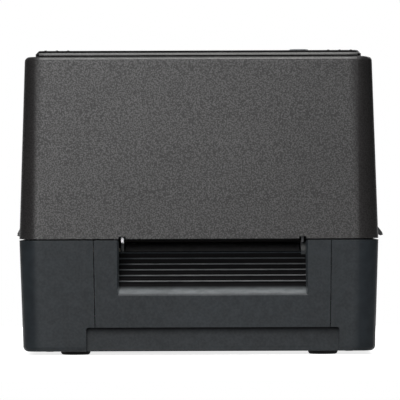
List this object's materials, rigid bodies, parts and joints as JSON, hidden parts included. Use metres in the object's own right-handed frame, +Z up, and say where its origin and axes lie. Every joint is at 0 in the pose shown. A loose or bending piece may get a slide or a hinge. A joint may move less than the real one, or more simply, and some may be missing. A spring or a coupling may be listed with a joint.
{
  "type": "label printer",
  "caption": "Desktop clamshell label printer that prints on label rolls through an ink ribbon, with a hinged cover, ribbed label exit, geared platen and sliding roll holders.",
  "frame": {"origin": "middle of the footprint, on the surface that the feet stand on", "axes": "+X to the right seen from the front, +Y from the label exit to the back, +Z up"},
  "size_m": [0.2187, 0.281, 0.1816],
  "materials": {
    "base_plastic": "fine grain, dark charcoal",
    "cover_plastic": "pebbled grain, dark grey",
    "panel_plastic": "pebbled grain, dark grey",
    "front_plastic": "fine grain, dark charcoal",
    "deck_plastic": "smooth, black",
    "slide_plastic": "smooth, dark grey",
    "latch_plastic": "fine grain, dark grey",
    "button_plastic": "satin, grey",
    "socket_plastic": "smooth, black",
    "gear_plastic": "moulded, off-white",
    "frame_plastic": "smooth, black",
    "window_clear": "smoked, clear",
    "light_clear": "clear, frosted",
    "rubber_black": "matt",
    "roller_rubber": "ground smooth",
    "steel": "bright",
    "plate_steel": "zinc plated",
    "aluminium": "satin",
    "bronze": "sintered",
    "ceramic": "glazed",
    "motor_steel": "satin",
    "board_green": "lacquered"
  },
  "bodies": {
    "base": {"lower_housing": "base_plastic", "front_panel": "front_plastic", "media_deck": "deck_plastic", "label_inlet": "base_plastic", "main_board": "board_green", "power_board": "board_green", "network_socket": "socket_plastic", "usb_socket": "steel", "power_socket": "socket_plastic", "switch_body": "socket_plastic", "drive_motor": "motor_steel", "gear_plate": "plate_steel", "platen_bush_left": "gear_plastic", "platen_bush_right": "gear_plastic", "hinge_pin_left": "steel", "hinge_pin_right": "steel", "foot_front_left": "rubber_black", "foot_front_right": "rubber_black", "foot_rear_left": "rubber_black", "foot_rear_right": "rubber_black"},
    "cover": {"top_cover": "cover_plastic", "top_panel": "panel_plastic", "view_window": "window_clear", "status_light": "light_clear", "control_board": "board_green", "ribbon_frame": "frame_plastic", "guide_rods": "steel", "head_pivot_rod": "steel", "tear_bar": "steel", "head_springs": "steel"},
    "head": {"head_bracket": "plate_steel", "heat_sink": "aluminium", "thermal_head": "ceramic"},
    "platen": {"platen_shaft": "steel", "platen_roller": "roller_rubber", "platen_gear": "gear_plastic"},
    "idler": {"idler_gear": "gear_plastic"},
    "motor_rotor": {"motor_shaft": "steel", "motor_pinion": "bronze"},
    "holder_left": {"media_holder_left": "slide_plastic"},
    "holder_right": {"media_holder_right": "slide_plastic"},
    "holder_gear": {"holder_pinion": "gear_plastic"},
    "guide_left": {"label_guide_left": "slide_plastic"},
    "guide_right": {"label_guide_right": "slide_plastic"},
    "guide_gear": {"guide_pinion": "gear_plastic"},
    "lock_slide": {"holder_lock": "button_plastic"},
    "label_sensor": {"sensor_carriage": "slide_plastic"},
    "rocker": {"switch_rocker": "socket_plastic"},
    "button": {"feed_button": "button_plastic"},
    "latch_slide_left": {"latch_left": "latch_plastic"},
    "latch_slide_right": {"latch_right": "latch_plastic"},
    "supply": {"supply_spindle": "slide_plastic"},
    "takeup": {"takeup_spindle": "slide_plastic"},
    "takeup_drive": {"takeup_gear": "gear_plastic"},
    "ribbon_gear_low": {"ribbon_idler_low": "gear_plastic"},
    "ribbon_gear_high": {"ribbon_idler_high": "gear_plastic"}
  },
  "joints": [
    {"name": "cover_hinge", "type": "hinge", "parent": "base", "child": "cover", "pos_m": [0, 0.1365, 0.0686], "axis": [-1, 0, 0], "range_deg": [0, 95]},
    {"name": "platen_spin", "type": "hinge", "parent": "base", "child": "platen", "pos_m": [0.008, -0.112, 0.058], "axis": [1, 0, 0], "continuous": true},
    {"name": "idler_spin", "type": "hinge", "parent": "base", "child": "idler", "pos_m": [-0.06, -0.0948, 0.04596], "axis": [1, 0, 0], "continuous": true},
    {"name": "motor_spin", "type": "hinge", "parent": "base", "child": "motor_rotor", "pos_m": [-0.064, -0.07305, 0.03581], "axis": [1, 0, 0], "continuous": true},
    {"name": "ribbon_idler_low_spin", "type": "hinge", "parent": "cover", "child": "ribbon_gear_low", "pos_m": [-0.058, -0.10731, 0.08459], "axis": [1, 0, 0], "continuous": true},
    {"name": "ribbon_idler_high_spin", "type": "hinge", "parent": "cover", "child": "ribbon_gear_high", "pos_m": [-0.058, -0.10804, 0.11058], "axis": [1, 0, 0], "continuous": true},
    {"name": "takeup_gear_spin", "type": "hinge", "parent": "cover", "child": "takeup_drive", "pos_m": [-0.058, -0.093, 0.133], "axis": [1, 0, 0], "continuous": true},
    {"name": "supply_spin", "type": "hinge", "parent": "cover", "child": "supply", "pos_m": [0.008, -0.028, 0.126], "axis": [1, 0, 0], "continuous": true},
    {"name": "takeup_spin", "type": "hinge", "parent": "cover", "child": "takeup", "pos_m": [0.008, -0.093, 0.133], "axis": [1, 0, 0], "continuous": true},
    {"name": "head_pivot", "type": "hinge", "parent": "cover", "child": "head", "pos_m": [0.008, -0.062, 0.076], "axis": [-1, 0, 0], "range_deg": [0, 1.2], "stiffness_Nm_per_rad": 4, "springref_deg": -11.46, "deforming": ["head_springs"]},
    {"name": "feed_press", "type": "slide", "parent": "cover", "child": "button", "axis": [0, 0, -1], "range_m": [0, 0.0008], "stiffness_N_per_m": 400, "springref_m": -0.001},
    {"name": "latch_left_slide", "type": "slide", "parent": "cover", "child": "latch_slide_left", "axis": [0, -1, 0], "range_m": [0, 0.005], "stiffness_N_per_m": 300, "springref_m": -0.002},
    {"name": "latch_right_slide", "type": "slide", "parent": "cover", "child": "latch_slide_right", "axis": [0, -1, 0], "range_m": [0, 0.005], "stiffness_N_per_m": 300, "springref_m": -0.002},
    {"name": "holder_left_slide", "type": "slide", "parent": "base", "child": "holder_left", "axis": [1, 0, 0], "range_m": [0, 0.0415]},
    {"name": "holder_right_slide", "type": "slide", "parent": "base", "child": "holder_right", "axis": [-1, 0, 0], "range_m": [0, 0.0415]},
    {"name": "holder_pinion_spin", "type": "hinge", "parent": "base", "child": "holder_gear", "pos_m": [0.008, 0.056, 0.0088], "axis": [0, 0, 1], "range_deg": [0, 398]},
    {"name": "guide_left_slide", "type": "slide", "parent": "base", "child": "guide_left", "axis": [1, 0, 0], "range_m": [0, 0.043]},
    {"name": "guide_right_slide", "type": "slide", "parent": "base", "child": "guide_right", "axis": [-1, 0, 0], "range_m": [0, 0.043]},
    {"name": "guide_pinion_spin", "type": "hinge", "parent": "base", "child": "guide_gear", "pos_m": [0.008, -0.07, 0.06], "axis": [0, 0, 1], "range_deg": [0, 412]},
    {"name": "holder_lock_slide", "type": "slide", "parent": "base", "child": "lock_slide", "axis": [1, 0, 0], "range_m": [0, 0.005]},
    {"name": "sensor_slide", "type": "slide", "parent": "base", "child": "label_sensor", "axis": [1, 0, 0], "range_m": [0, 0.036]},
    {"name": "switch_rock", "type": "hinge", "parent": "base", "child": "rocker", "pos_m": [0.081, 0.13405, 0.043], "axis": [0, 0, 1], "range_deg": [-7, 7]}
  ],
  "couplings": [
    {"joint": "idler_spin", "follows": "platen_spin", "ratio": -2},
    {"joint": "motor_spin", "follows": "platen_spin", "ratio": 6},
    {"joint": "ribbon_idler_low_spin", "follows": "platen_spin", "ratio": -1.0769},
    {"joint": "ribbon_idler_high_spin", "follows": "platen_spin", "ratio": 1.0769},
    {"joint": "takeup_gear_spin", "follows": "platen_spin", "ratio": -1},
    {"joint": "holder_right_slide", "follows": "holder_left_slide", "ratio": 1},
    {"joint": "holder_pinion_spin", "follows": "holder_left_slide", "rad_per_m": 166.67},
    {"joint": "guide_right_slide", "follows": "guide_left_slide", "ratio": 1},
    {"joint": "guide_pinion_spin", "follows": "guide_left_slide", "rad_per_m": 166.67}
  ]
}
